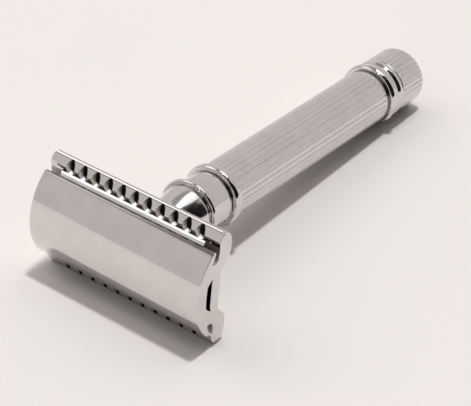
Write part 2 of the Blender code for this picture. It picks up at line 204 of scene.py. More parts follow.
def groove(turn, flutes, width):
    """Depth share of a rounded flute, 0 on the land and 1 at the bottom, at a share of a turn."""
    place = abs((turn * flutes) % 1.0 - 0.5)
    if place >= width / 2.0:
        return 0.0
    return 0.5 + 0.5 * math.cos(2.0 * math.pi * place / width)


def revolve(outline, flutes=0, width=0.45):
    """Turn (y, radius[, flute depth]) points about the handle axis into a solid or a ring.

    An outline that starts on the axis gives a solid, any other one is closed into a ring. The
    width is a flute's share of the space between two flutes.
    """
    bm = bmesh.new()
    count = flutes * FLUTE_STEPS if flutes else RING_SEGMENTS
    rows = []
    for y, radius, *depth in outline:
        if radius < 1e-6:
            rows.append([bm.verts.new((0.0, y, 0.0))])
            continue
        row = []
        for i in range(count):
            cut = depth[0] * groove(i / count, flutes, width) if depth else 0.0
            a = 2.0 * math.pi * i / count - math.pi / 2.0
            row.append(bm.verts.new(((radius - cut) * math.cos(a), y, (radius - cut) * math.sin(a))))
        rows.append(row)
    closed = len(rows[0]) > 1
    following = rows[1:] + rows[:1] if closed else rows[1:]
    for one, two in zip(rows, following):
        for i in range(count):
            j = (i + 1) % count
            corners = [one[0]] if len(one) == 1 else [one[i], one[j]]
            corners += [two[0]] if len(two) == 1 else [two[j], two[i]]
            bm.faces.new(corners)
    return bm


def set_smooth(obj, angle):
    """Shade a piece smooth, but keep edges sharper than the angle in degrees."""
    obj.data.shade_smooth()
    obj.data.set_sharp_from_angle(angle=math.radians(angle))


def make_object(name, bm, smooth_angle=30.0):
    """Turn a bmesh drawn in millimetres in the razor's frame into an object in the row frame."""
    bmesh.ops.recalc_face_normals(bm, faces=bm.faces)
    bmesh.ops.scale(bm, verts=bm.verts, vec=(MM, MM, MM))
    mesh = bpy.data.meshes.new(name)
    bm.to_mesh(mesh)
    bm.free()
    mesh.transform(RAZOR)
    obj = bpy.data.objects.new(name, mesh)
    set_smooth(obj, smooth_angle)
    bpy.context.scene.collection.objects.link(obj)
    return obj


def show(obj, body, node, slot, *materials):
    """Give a finished piece a material for each finish, and let it stand for a CAD node on that body."""
    finishes = [face.material_index for face in obj.data.polygons]
    obj.data.materials.clear()
    for material in materials:
        obj.data.materials.append(material)
    for face, finish in zip(obj.data.polygons, finishes):
        face.material_index = min(finish, len(materials) - 1)
    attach(obj, body)
    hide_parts(node)


def apply_booleans(obj, steps):
    """Apply (operation, bmesh) pairs one after another and leave only the result."""
    finishes = [bpy.data.materials.new("finish_%d" % i) for i in range(FINISHES)]
    for finish in finishes:
        obj.data.materials.append(finish)
    for operation, bm in steps:
        cutter = make_object("cutter", bm)
        for finish in finishes:
            cutter.data.materials.append(finish)
        modifier = obj.modifiers.new("shape", 'BOOLEAN')
        modifier.operation = operation
        modifier.solver = 'EXACT'
        modifier.material_mode = 'TRANSFER'
        modifier.object = cutter
        bpy.context.view_layer.update()
        cut = obj.evaluated_get(bpy.context.evaluated_depsgraph_get())
        made = bpy.data.meshes.new_from_object(cut)
        obj.modifiers.clear()
        obj.data = made
        bpy.data.objects.remove(cutter, do_unlink=True)


# Materials -------------------------------------------------------------------------------

def set_range(node, low, high, to_low, to_high):
    """Set the four limits of a Map Range node."""
    node.inputs["From Min"].default_value = low
    node.inputs["From Max"].default_value = high
    node.inputs["To Min"].default_value = to_low
    node.inputs["To Max"].default_value = to_high


class Nodes:
    """A short way to build a material's node tree; place is a point in the razor's frame, in metres."""

    def __init__(self, name):
        self.material = bpy.data.materials.new(name)
        self.material.use_nodes = True
        self.tree = self.material.node_tree
        self.shader = self.tree.nodes["Principled BSDF"]
        back = RAZOR.inverted()
        to_razor = self.add('ShaderNodeMapping')
        to_razor.inputs["Location"].default_value = back.to_translation()
        to_razor.inputs["Rotation"].default_value = back.to_euler('XYZ')
        self.link(self.add('ShaderNodeTexCoord').outputs["Object"], to_razor.inputs["Vector"])
        self.place = to_razor.outputs["Vector"]

    def add(self, kind, **values):
        node = self.tree.nodes.new(kind)
        for key, value in values.items():
            setattr(node, key, value)
        return node

    def link(self, output, target):
        self.tree.links.new(output, target)

    def noise(self, scale, detail, stretch=(1.0, 1.0, 1.0)):
        """Noise with scale in features per millimetre, stretched along the razor's axes."""
        mapping = self.add('ShaderNodeMapping')
        mapping.inputs["Scale"].default_value = [s / MM for s in stretch]
        self.link(self.place, mapping.inputs["Vector"])
        texture = self.add('ShaderNodeTexNoise')
        texture.inputs["Scale"].default_value = scale
        texture.inputs["Detail"].default_value = detail
        self.link(mapping.outputs["Vector"], texture.inputs["Vector"])
        return texture.outputs["Fac"]

    def remap(self, value, low, high, to_low, to_high):
        node = self.add('ShaderNodeMapRange')
        set_range(node, low, high, to_low, to_high)
        self.link(value, node.inputs["Value"])
        return node.outputs["Result"]

    def tint(self, value, dark, light):
        """Vary the base colour between two colours by a value from 0 to 1, and return it."""
        node = self.add('ShaderNodeMix', data_type='RGBA')
        self.link(value, node.inputs["Factor"])
        node.inputs["A"].default_value = (*dark, 1.0)
        node.inputs["B"].default_value = (*light, 1.0)
        self.link(node.outputs["Result"], self.shader.inputs["Base Color"])
        return node.outputs["Result"]

    def bump(self, heights, distance, normal=None):
        """Chain bumps of (height, strength) pairs; distance is in millimetres."""
        for height, strength in heights:
            node = self.add('ShaderNodeBump')
            node.inputs["Strength"].default_value = strength
            node.inputs["Distance"].default_value = distance * MM
            self.link(height, node.inputs["Height"])
            if normal is not None:
                self.link(normal, node.inputs["Normal"])
            normal = node.outputs["Normal"]
        self.link(normal, self.shader.inputs["Normal"])


def chrome(name, dark, light, rough, marks, haze=0.02):
    """Polished chrome plate: polishing marks stretched by marks, haze and light wear."""
    nodes = Nodes(name)
    cloud = nodes.noise(0.22, 4.0)
    smudge = nodes.noise(0.7, 5.0)
    fine = nodes.noise(1.0, 2.0, stretch=marks)
    orange_peel = nodes.noise(1.6, 2.0)
    nodes.tint(nodes.remap(cloud, 0.3, 0.7, 0.0, 1.0), dark, light)
    nodes.shader.inputs["Metallic"].default_value = 1.0
    total = nodes.add('ShaderNodeMath', operation='ADD')
    nodes.link(nodes.remap(smudge, 0.35, 0.7, rough, rough + haze), total.inputs[0])
    nodes.link(nodes.remap(fine, 0.4, 0.7, 0.0, haze), total.inputs[1])
    nodes.link(total.outputs[0], nodes.shader.inputs["Roughness"])
    nodes.bump(((orange_peel, 0.05), (fine, 0.06)), 0.02)
    return nodes.material


def turned_metal(name, dark, light, rough):
    """Plain metal with fine tool marks that run round the handle axis."""
    nodes = Nodes(name)
    cloud = nodes.noise(0.5, 3.0)
    marks = nodes.noise(1.0, 2.0, stretch=TOOL_MARKS)
    nodes.tint(nodes.remap(cloud, 0.3, 0.7, 0.0, 1.0), dark, light)
    nodes.shader.inputs["Metallic"].default_value = 1.0
    nodes.link(nodes.remap(marks, 0.3, 0.7, rough, rough + 0.12), nodes.shader.inputs["Roughness"])
    nodes.bump(((marks, 0.25),), 0.02)
    return nodes.material


def ground_steel(name, width, facet, slope):
    """Blade steel: a facet honed along each edge, with grinding lines, and a clean dull flat."""
    nodes = Nodes(name)
    height = nodes.add('ShaderNodeSeparateXYZ')
    nodes.link(nodes.place, height.inputs[0])
    out = nodes.add('ShaderNodeMath', operation='ABSOLUTE')
    nodes.link(height.outputs["Z"], out.inputs[0])
    drop = facet * math.tan(math.radians(slope))
    hone = nodes.remap(out.outputs[0], (width - facet) * MM, width * MM, 0.0, -drop * MM)
    cloud = nodes.noise(0.3, 4.0)
    lines = nodes.noise(1.0, 3.0, stretch=(0.08, 14.0, 14.0))
    nodes.tint(nodes.remap(cloud, 0.3, 0.7, 0.0, 1.0), (0.70, 0.70, 0.70), (0.80, 0.80, 0.79))
    nodes.shader.inputs["Metallic"].default_value = 1.0
    nodes.link(nodes.remap(lines, 0.3, 0.7, 0.07, 0.13), nodes.shader.inputs["Roughness"])
    facing = nodes.add('ShaderNodeBump')
    facing.inputs["Distance"].default_value = 1.0
    nodes.link(hone, facing.inputs["Height"])
    nodes.bump(((lines, 0.2),), 0.006, facing.outputs["Normal"])
    return nodes.material


CHROME_DARK = (0.66, 0.64, 0.63)
CHROME_LIGHT = (0.72, 0.70, 0.69)
# Darker chrome painted on the cap's lip as shade.
LIP_SHADE_DARK = (0.30, 0.27, 0.265)
LIP_SHADE_LIGHT = (0.36, 0.33, 0.32)
ROUND_MARKS = (0.3, 8.0, 0.3)    # polishing marks that run round a turned piece
TOOL_MARKS = (0.12, 6.0, 0.12)
HONED_FACET = 0.9                # width of the facet along each cutting edge, mm
HONED_SLOPE = 21.0               # how far it leans from the blade's flat, degrees

HEAD_CHROME = chrome("head_chrome", CHROME_DARK, CHROME_LIGHT, 0.04, (0.4, 9.0, 9.0))
RING_CHROME = chrome("ring_chrome", CHROME_DARK, CHROME_LIGHT, 0.03, ROUND_MARKS)
LIP_SHADE_CHROME = chrome("lip_painted_shade", LIP_SHADE_DARK, LIP_SHADE_LIGHT, 0.16, (8.0, 0.3, 0.3), haze=0.05)
BEAD_CHROME = chrome("bead_chrome", CHROME_DARK, CHROME_LIGHT, 0.12, ROUND_MARKS, haze=0.04)
GRIP_CHROME = chrome("grip_chrome", CHROME_DARK, CHROME_LIGHT, 0.10, (7.0, 0.25, 7.0), haze=0.06)
# Near-black metal painted in the slot throats and pocket floors as shade.
SLOT_SHADE_METAL = turned_metal("slot_painted_shade", (0.055, 0.048, 0.047), (0.095, 0.085, 0.082), 0.45)
# Pale metal painted on the slot mouths as their lit wall: painted light.
MOUTH_LIT_METAL = turned_metal("mouth_painted_light", (0.80, 0.77, 0.75), (0.90, 0.88, 0.86), 0.42)
# Grey metal painted in the channel under the blade and along the crease as shade.
CHANNEL_SHADE_METAL = turned_metal("channel_painted_shade", (0.36, 0.33, 0.32), (0.46, 0.43, 0.42), 0.4)
# Darker metal painted on the groove rings as shade.
GROOVE_SHADE_METAL = turned_metal("groove_metal", (0.22, 0.21, 0.20), (0.30, 0.29, 0.28), 0.2)
PLAIN_STEEL = turned_metal("plain_steel", (0.55, 0.55, 0.55), (0.66, 0.66, 0.66), 0.2)
TURNED_BRASS = turned_metal("turned_brass", (0.62, 0.47, 0.22), (0.76, 0.60, 0.32), 0.22)
BLADE_HALF_WIDTH = frame["nodes"]["blade"].dimensions.z / MM / 2.0
BLADE_STEEL = ground_steel("blade_steel", BLADE_HALF_WIDTH, HONED_FACET, HONED_SLOPE)


# Head ------------------------------------------------------------------------------------

CAP_LOW, CAP_HIGH = span("cap")
HEAD_HALF = CAP_HIGH.x
CAP_HALF_WIDTH = CAP_HIGH.z
CAP_RISE = -CAP_LOW.y
CAP_END_ROUND = 0.15
LIP_SHADE_FINISH = 1                   # the cap's second finish: darker chrome painted on the lip as shade
LUG_INNER = 4.1                  # an end lug stands between these distances from the centre line
LUG_OUTER = 7.3
LUG_THICKNESS = 0.38
SEAM_LEVEL = 0.6                 # where the cap's end lugs meet the base plate
BOSS_RADIUS = 3.0                # boss under the cap that holds the stud
PIN_RADIUS = 1.3
PIN_SPACING = span("cap_pin_right")[0].x + PIN_RADIUS

BLADE_LEVEL = -1.1               # middle of the blade's thickness on the centre line
BLADE_BEND = 25.0                # radius of its bend
BLADE_THICKNESS = 0.1
BLADE_LOW, BLADE_HIGH = span("blade")
BLADE_EDGE_HALF = 18.6           # half length of a cutting edge; the end tabs reach farther
BLADE_TAB_HALF_WIDTH = 6.3
BLADE_SLOT_HALF_LENGTH = 16.5
BLADE_SLOT_HALF_WIDTH = 1.1
BLADE_MIDDLE_HOLE = 3.3          # radius
BLADE_SIDE_HOLE = 1.75           # radius
BLADE_END_HOLE_SPACING = 16.0
BEVEL_WIDTH = 0.38               # ground bevel along each cutting edge

PLATE_END_ROUND = 0.14
PLATE_CORNER = 1.1               # radius of the guard's corners, seen along the handle
REST_INNER = 8.4                 # the rests under the blade stand between these distances
REST_OUTER = 10.0
REST_HALF_LENGTH = 18.4
REST_FOOT = 2.6                  # the rests reach down to this level, inside the plate
STUD_HOLE = 2.7                  # radius
PIN_CLEARANCE = 0.15
PAST_PLATE = 8.0                 # a level clear of the base plate, where cutters can end
GUARD_HALF_WIDTH = span("base_plate")[1].z
SLOT_COUNT = 11
SLOT_PITCH = 3.37
SLOT_THROAT = 0.74               # half width of a slot below its flared mouth
SLOT_NECK = 2.95                 # level where the mouth ends and the throat with painted shade begins
CHANNEL_EDGE = 10.55             # the channel under the blade carries painted shade up to here
CREASE = 13.5                    # line between the slotted face and the guard's nose, with painted shade along it
SLOT_SHADE_FINISH = 1                  # the plate's further finishes, in the order of its materials: painted shade in the slot throats, painted shade in the channel and along the crease, painted light on the slot mouths
CHANNEL_SHADE_FINISH = 2
MOUTH_LIT_FINISH = 3


def blade_level(z):
    """Level of the bent blade's middle surface at a distance from the centre line."""
    return BLADE_LEVEL + BLADE_BEND - math.sqrt(BLADE_BEND ** 2 - z ** 2)


def make_cap():
    """Domed cap with a rounded lip along both sides, end lugs and a boss for the stud; the lip gets painted
    shade.
    """
    radius = (CAP_HALF_WIDTH ** 2 + CAP_RISE ** 2) / (2.0 * CAP_RISE)
    reach = math.degrees(math.asin(CAP_HALF_WIDTH / radius))
    lip_share = 2.2              # the dome's last degrees, where the lip takes over
    outer = arc((radius - CAP_RISE, 0.0), radius, 180.0, 180.0 - reach + lip_share, 40)
    rise = BLADE_THICKNESS / 2.0 + GAP
    inner_z = CAP_HALF_WIDTH - 0.5
    lip = fillet([(*outer[-1], 0.0), (0.02, CAP_HALF_WIDTH, 0.22), (0.6, CAP_HALF_WIDTH - 0.06, 0.2),
                  (blade_level(inner_z) - rise, inner_z, 0.0)], steps=6)
    under = [(blade_level(z) - rise, z) for z in spread(inner_z - 0.2, 0.0, 24)]
    bm = bmesh.new()
    extrude_rounded(bm, mirror_outline(outer + lip[1:] + under), HEAD_HALF, CAP_END_ROUND)
    cap = make_object("cap_plate", bm)

    bm = bmesh.new()
    for side in (-1.0, 1.0):
        for across in (-1.0, 1.0):
            outline = [(-1.6, across * (LUG_INNER - 1.9)), (-0.4, across * (LUG_INNER - 0.7)),
                       (SEAM_LEVEL - GAP, across * LUG_INNER),
                       (SEAM_LEVEL - GAP, across * LUG_OUTER), (-1.6, across * LUG_OUTER)]
            extrude(bm, outline, side * (HEAD_HALF - LUG_THICKNESS), side * (HEAD_HALF - 0.005))
    add_post(bm, 0.0, BOSS_RADIUS, -2.0, 0.2)
    apply_booleans(cap, [('UNION', bm)])
    # Faces along both lips get the darker chrome: painted shade.
    for face in cap.data.polygons:
        place = RAZOR.inverted() @ face.center / MM
        if abs(face.normal.x) < 0.5 and abs(place.z) > CAP_HALF_WIDTH - 0.7 and place.y > outer[-1][0]:
            face.material_index = LIP_SHADE_FINISH
    set_smooth(cap, 32.0)
    show(cap, "cap", "cap", "polished_chrome", HEAD_CHROME, LIP_SHADE_CHROME)


def make_stud():
    """Threaded stud with a smooth right-hand ridge that fades out at both ends."""
    low, high = span("cap_stud")
    crest = 2.4
    root = 1.95
    pitch = 0.8
    rows_a_turn = 10
    count = 48
    start = SEAT_LEVEL - 0.6
    end = high.y - 0.8
    steps = int(round((end - start) / pitch * rows_a_turn))
    bm = bmesh.new()
    rows = []

    def add_row(y, height, base):
        row = []
        for i in range(count):
            a = 2.0 * math.pi * i / count
            phase = (y / pitch + a / (2.0 * math.pi)) % 1.0
            reach = base + height * min(1.0, 1.15 * (1.0 - 2.0 * abs(phase - 0.5)))
            row.append(bm.verts.new((reach * math.cos(a), y, reach * math.sin(a))))
        rows.append(row)

    add_row(low.y, 0.0, root)
    for step in range(steps + 1):
        fade = min(1.0, step / rows_a_turn, (steps - step) / rows_a_turn)
        add_row(start + step * pitch / rows_a_turn, (crest - root) * fade, root)
    add_row(high.y - 0.4, 0.0, root)
    add_row(high.y, 0.0, root - 0.4)
    bm.faces.new(rows[0])
    bm.faces.new(list(reversed(rows[-1])))
    for one, two in zip(rows, rows[1:]):
        for i in range(count):
            j = (i + 1) % count
            bm.faces.new((one[i], two[i], two[j], one[j]))
    stud = make_object("stud_thread", bm, 40.0)
    show(stud, "cap", "cap_stud", "plain_steel", PLAIN_STEEL)


def make_pins():
    """Two round pins with rounded tips that keep the blade in place."""
    low, high = span("cap_pin_right")
    for name, side in (("left", -1.0), ("right", 1.0)):
        bm = revolve(fillet([(low.y, 0.0, 0.0), (low.y, PIN_RADIUS, 0.1), (high.y, PIN_RADIUS, 0.45),
                             (high.y, 0.0, 0.0)]))
        bmesh.ops.translate(bm, verts=bm.verts, vec=(side * PIN_SPACING, 0.0, 0.0))
        pin = make_object("pin_" + name, bm, 40.0)
        show(pin, "cap", "cap_pin_" + name, "plain_steel", PLAIN_STEEL)


def make_blade():
    """Thin bent strip, tapered at both cutting edges, with end tabs, a long slot and holes."""
    half = BLADE_THICKNESS / 2.0
    width = BLADE_HIGH.z
    across = spread(0.0, width - BEVEL_WIDTH, 30)
    top = [(blade_level(z) - half, z) for z in across]
    bottom = [(blade_level(z) + half, z) for z in reversed(across)]
    tip = [(blade_level(width) - 0.004, width), (blade_level(width) + 0.004, width)]
    bm = bmesh.new()
    extrude(bm, mirror_outline(top + tip + bottom), BLADE_LOW.x, BLADE_HIGH.x)
    blade = make_object("blade_strip", bm)

    low = BLADE_LEVEL - 1.0
    high = 3.0
    notches = bmesh.new()
    for side in (-1.0, 1.0):
        for hand in (-1.0, 1.0):
            outline = [(low, hand * BLADE_TAB_HALF_WIDTH), (high, hand * BLADE_TAB_HALF_WIDTH),
                       (high, hand * 13.0), (low, hand * 13.0)]
            extrude(notches, outline, side * BLADE_EDGE_HALF, side * 24.0)
    slot = bmesh.new()
    edge = BLADE_SLOT_HALF_WIDTH
    outline = [(low, -edge), (high, -edge), (high, edge), (low, edge)]
    extrude(slot, outline, -BLADE_SLOT_HALF_LENGTH, BLADE_SLOT_HALF_LENGTH)
    holes = bmesh.new()
    add_post(holes, 0.0, BLADE_MIDDLE_HOLE, low, high, 64)
    for side in (-1.0, 1.0):
        for x in (PIN_SPACING, BLADE_END_HOLE_SPACING):
            add_post(holes, side * x, BLADE_SIDE_HOLE, low, high)
    apply_booleans(blade, [('DIFFERENCE', notches), ('DIFFERENCE', slot), ('DIFFERENCE', holes)])
    set_smooth(blade, 4.0)
    show(blade, "blade", "blade", "blade_steel", BLADE_STEEL)


def plate_outline():
    """Half of the base plate's end profile, from the centre line out round the guard and back."""
    tip = 0.55
    nose = (3.35, GUARD_HALF_WIDTH - tip)
    face = fillet([(0.35, 0.0, 0.0), (0.35, LUG_INNER - 1.3, 0.0), (SEAM_LEVEL, LUG_INNER + 0.05, 0.0),
                   (SEAM_LEVEL, LUG_OUTER, 0.0), (1.0, LUG_OUTER + 0.1, 0.0), (1.75, 8.1, 0.5),
                   (2.0, 9.2, 0.5), (2.0, 10.3, 0.3), (1.95, CHANNEL_EDGE, 0.0), (1.8, 12.0, 0.5),
                   (2.8, CREASE - 0.12, 0.0), (2.88, CREASE + 0.12, 0.0)], steps=4)
    back = fillet([(4.9, 12.75, 0.0), (5.35, 12.1, 1.0), (5.72, 11.2, 1.5), (5.85, 10.2, 1.5),
                   (5.85, 8.75, 0.3), (5.4, 7.1, 0.3), (3.25, 4.85, 0.3), (SEAT_LEVEL, 4.6, 0.0),
                   (SEAT_LEVEL, 0.0, 0.0)], steps=4)
    return mirror_outline(face + arc(nose, tip, 134.0, 20.0, 14) + back)


def make_base_plate():
    """Base plate with blade rests, a row of slots in each guard and holes for stud and pins, with painted
    shade in the slot throats, the channel and the crease, and painted light on the slot mouths.
    """
    bm = bmesh.new()
    extrude_rounded(bm, plate_outline(), HEAD_HALF, PLATE_END_ROUND)
    plate = make_object("guard_plate", bm)
    clearance = BLADE_THICKNESS / 2.0 + GAP
    rests = bmesh.new()
    for hand in (-1.0, 1.0):
        outline = [(blade_level(z) + clearance, hand * z) for z in spread(REST_INNER, REST_OUTER, 6)]
        outline += [(REST_FOOT, hand * REST_OUTER), (REST_FOOT, hand * REST_INNER)]
        extrude(rests, outline, -REST_HALF_LENGTH, REST_HALF_LENGTH)
    openings = bmesh.new()
    pockets = bmesh.new()
    for i in range(SLOT_COUNT):
        x = (i - (SLOT_COUNT - 1) / 2.0) * SLOT_PITCH
        for hand in (-1.0, 1.0):
            # A slot's flared mouth gets painted light; its throat, floor and drain get painted shade.
            mouth = [(1.5, hand * 11.95, 1.3, 1.8), (SLOT_NECK, hand * 12.15, SLOT_THROAT, 1.4),
                     (3.9, hand * 12.15, SLOT_THROAT, 1.35)]
            add_loft(pockets, x, mouth, 32, (MOUTH_LIT_FINISH, SLOT_SHADE_FINISH))
            drain = [(y, hand * 11.8, SLOT_THROAT - 0.02, 1.1) for y in (1.0, PAST_PLATE)]
            add_loft(openings, x, drain, 32, (SLOT_SHADE_FINISH,))
    add_post(openings, 0.0, STUD_HOLE, -1.0, PAST_PLATE)
    for side in (-1.0, 1.0):
        add_post(openings, side * PIN_SPACING, PIN_RADIUS + PIN_CLEARANCE, -1.0, PAST_PLATE)
    corners = bmesh.new()
    for side in (-1.0, 1.0):
        for hand in (-1.0, 1.0):
            add_corner(corners, side * HEAD_HALF, hand * GUARD_HALF_WIDTH, PLATE_CORNER, 1.0, PAST_PLATE)
    apply_booleans(plate, [('UNION', rests), ('DIFFERENCE', pockets), ('DIFFERENCE', openings),
                           ('DIFFERENCE', corners)])
    # Faces in the channel under the blade and along the crease get painted shade.
    for face in plate.data.polygons:
        place = RAZOR.inverted() @ face.center / MM
        across = abs(place.z)
        if abs(face.normal.x) > 0.5:
            continue
        in_channel = LUG_OUTER < across < CHANNEL_EDGE and place.y < 2.4
        on_crease = abs(across - CREASE) < 0.1 and place.y < 2.9
        if in_channel or on_crease:
            face.material_index = CHANNEL_SHADE_FINISH
    set_smooth(plate, 28.0)
    show(plate, "base_plate", "base_plate", "polished_chrome",
         HEAD_CHROME, SLOT_SHADE_METAL, CHANNEL_SHADE_METAL, MOUTH_LIT_METAL)


# Handle ----------------------------------------------------------------------------------

ROD_BORE = 2.05                  # radius of the bore round the tie rod
GRIP_BORE = 4.6
GRIP_FLUTES = 32
FLUTE_DEPTH = 0.2
KNOB_FLUTES = 36
NECK_BORE = 3.2                  # radius of the bore for the insert
NECK_RADIUS = 4.4
NECK_END = 13.4                  # the neck starts to flare into the bead here
INSERT_SEAT = 13.95              # where the insert's bore narrows to the tie rod's
NUT_POCKET_RADIUS = 4.4
NUT_POCKET_DEPTH = 3.0
KNOB_BORE_END = 99.5


def make_turned(name, node, outline, slot, material, flutes=0, width=0.45):
    """Make one turned piece of the handle, with lengthwise flutes if it has any."""
    obj = make_object(name, revolve(outline, flutes, width), 32.0)
    show(obj, "handle", node, slot, material)


def make_bead():
    """Neck that flares into the bead, with its bore for the insert and the tie rod."""
    low, high = span("neck_bead")
    belly = 23.0
    reach = 6.5
    bulge = 22.0
    swell = [(t, reach + math.sqrt(bulge ** 2 - (t - belly) ** 2) - bulge)
             for t in spread(NECK_END + 0.5, high.y - 0.35, 24)]
    neck = fillet([(low.y, NECK_BORE, 0.0), (low.y, NECK_RADIUS, 0.25), (NECK_END, NECK_RADIUS, 2.5),
                   (*swell[0], 0.0)])
    end = fillet([(*swell[-1], 0.0), (high.y, swell[-1][1] - 0.05, 0.3), (high.y, ROD_BORE, 0.0)])
    outline = neck + swell[1:] + end[1:] + [(INSERT_SEAT, ROD_BORE), (INSERT_SEAT, NECK_BORE)]
    make_turned("bead", "neck_bead", outline, "polished_chrome", BEAD_CHROME)


def make_spacer(name, node, material):
    """Plain ring that is set back between two larger pieces and shows as a groove."""
    low, high = span(node)
    outline = [(low.y, ROD_BORE), (low.y, high.x), (high.y, high.x), (high.y, ROD_BORE)]
    make_turned(name, node, outline, "groove_metal", material)


def make_collar():
    """Rounded rim at the bead's end, then a plain band."""
    low, high = span("collar")
    rim = high.x
    band = 6.15
    back = low.y + 1.0
    barrel = [(t, band - 0.003 * (t - 25.0) ** 2) for t in spread(back + 0.3, high.y - 0.3, 12)]
    front = fillet([(low.y, ROD_BORE, 0.0), (low.y, rim - 0.1, 0.62), (low.y + 0.7, rim + 0.01, 0.6),
                    (back, rim - 0.2, 0.3), (back + 0.03, barrel[0][1], 0.15), (*barrel[0], 0.0)], steps=12)
    end = fillet([(*barrel[-1], 0.0), (high.y, barrel[-1][1], 0.15), (high.y, ROD_BORE, 0.0)])
    make_turned("collar_band", "collar", front + barrel[1:] + end[1:], "polished_chrome", RING_CHROME)


def make_grip_ring():
    """Rounded ring between the collar and the grip."""
    low, high = span("grip_ring")
    radius = high.x
    outline = fillet([(low.y, ROD_BORE, 0.0), (low.y, radius - 0.15, 0.85),
                      ((low.y + high.y) / 2.0 + 0.2, radius + 0.01, 2.0),
                      (high.y, radius - 0.15, 0.5), (high.y, ROD_BORE, 0.0)], steps=10)
    make_turned("grip_bead_ring", "grip_ring", outline, "polished_chrome", RING_CHROME)


def make_grip():
    """Tube with rounded lengthwise flutes that run out into a plain band at each end."""
    low, high = span("grip_barrel")
    crest = high.x
    run_out = [(0.55, 0.0), (0.75, 0.25), (0.95, 0.6), (1.15, 0.9), (1.35, 1.0)]
    front = [(low.y, GRIP_BORE), (low.y, crest - 0.2), (low.y + 0.06, crest - 0.06), (low.y + 0.2, crest)]
    front += [(low.y + t, crest, share * FLUTE_DEPTH) for t, share in run_out]
    back = [(high.y - t, crest, share * FLUTE_DEPTH) for t, share in reversed(run_out)]
    back += [(high.y - 0.2, crest), (high.y - 0.06, crest - 0.06), (high.y, crest - 0.2),
             (high.y, GRIP_BORE)]
    make_turned("grip_tube", "grip_barrel", front + back, "polished_chrome", GRIP_CHROME, GRIP_FLUTES)


def make_knob_ring():
    """Flange with a hollow between two rounded rims, and a pocket for the nut behind it."""
    low, high = span("knob_ring")
    start = low.y
    end = high.y
    floor = end - NUT_POCKET_DEPTH
    outline = fillet([(start, ROD_BORE, 0.0), (start, 7.1, 0.45), (start + 0.9, 7.45, 0.8),
                      (start + 1.9, 7.3, 0.7), (start + 2.7, 6.75, 0.7), (start + 3.3, 6.72, 0.5),
                      (start + 4.1, 7.1, 0.7), (end, 7.0, 0.3), (end, NUT_POCKET_RADIUS, 0.0),
                      (floor, NUT_POCKET_RADIUS, 0.0), (floor, ROD_BORE, 0.0)], steps=8)
    make_turned("flange", "knob_ring", outline, "polished_chrome", RING_CHROME)


def make_knob():
    """Fluted knob with a rounded end, in which the flutes fade out."""
    low, high = span("knob")
    start = low.y
    end = high.y
    crest = 6.95
    round_off = 1.7
    dome = []
    for a in spread(math.radians(10.0), math.radians(90.0), 12):
        fade = max(0.0, math.cos(a * 1.6)) * FLUTE_DEPTH
        dome.append((end - round_off + round_off * math.sin(a),
                     crest - round_off + round_off * math.cos(a), fade))
    outline = [(KNOB_BORE_END, 0.0), (KNOB_BORE_END, ROD_BORE), (start, ROD_BORE), (start, crest - 0.2),
               (start + 0.06, crest - 0.06), (start + 0.2, crest), (start + 0.35, crest),
               (start + 0.5, crest, 0.5 * FLUTE_DEPTH), (start + 0.7, crest, FLUTE_DEPTH),
               (end - round_off, crest, FLUTE_DEPTH)]
    make_turned("end_knob", "knob", outline + dome + [(end, 0.0)], "polished_chrome", GRIP_CHROME,
                KNOB_FLUTES, 0.5)


def dress_hidden_pieces():
    """The pieces inside the handle keep their CAD shape and get a turned-metal finish."""
    finishes = {"neck_insert": ("turned_brass", TURNED_BRASS),
                "grip_bush_front": ("turned_brass", TURNED_BRASS),
                "grip_bush_rear": ("turned_brass", TURNED_BRASS),
                "stack_washer": ("plain_steel", PLAIN_STEEL),
                "stack_nut": ("plain_steel", PLAIN_STEEL), "tie_rod": ("plain_steel", PLAIN_STEEL)}
    for node, (slot, material) in finishes.items():
        obj = frame["nodes"][node]
        obj.data.materials.clear()
        obj.data.materials.append(material)


# Studio ----------------------------------------------------------------------------------

CAMERA_AZIMUTH = 35.33           # 0 looks along +Y, in degrees
CAMERA_ELEVATION = 36.21
CAMERA_ROLL = 2.90
CAMERA_DISTANCE = 0.44225        # m
CAMERA_AIM = Vector((-0.00127, -0.01001, -0.01020))    # from the middle of the CAD box, m
CAMERA_LENS = 153.8              # mm
SENSOR_WIDTH = 36.0              # mm

PAPER = (0.86, 0.83, 0.805)
PAPER_HALF_SIZE = 3.0            # m
CONTACT_REACH = 5.0              # how far the painted shade on the floor reaches round what stands close to it, mm
CONTACT_SHADE = 0.68             # share of the paper's colour that is left where the painted shade is darkest

# The room's azimuths, elevations and the soft edges between its areas are in degrees.
WALL = (0.66, 0.625, 0.61)
WALL_TOP = 50.0                  # elevation where the walls meet the ceiling
WALL_EDGE = 6.0
CEILING_AZIMUTH = -75.0          # side on which the ceiling is lit
CEILING_LIT = 0.48
CEILING_DIM = 0.08
BRIGHT_AZIMUTH = -33.0           # middle of the wall that is lit more
BRIGHT_HALF_WIDTH = 41.0
BRIGHT_EDGE = 4.0
BRIGHT_SHARE = 1.05
DARK_AZIMUTH = 103.0             # middle of the room's unlit side
DARK_HALF_WIDTH = 53.0
DARK_EDGE = 3.0
DARK_TOP = 55.0                  # the unlit side ends at this elevation
KEY_RADIANCE = 246.0             # small and bright, so that shadows have crisp edges


def direction(azimuth, elevation):
    """Unit vector; azimuth 0 points along +Y and 90 along +X, in degrees."""
    a = math.radians(azimuth)
    e = math.radians(elevation)
    return Vector((math.sin(a) * math.cos(e), math.cos(a) * math.cos(e), math.sin(e)))


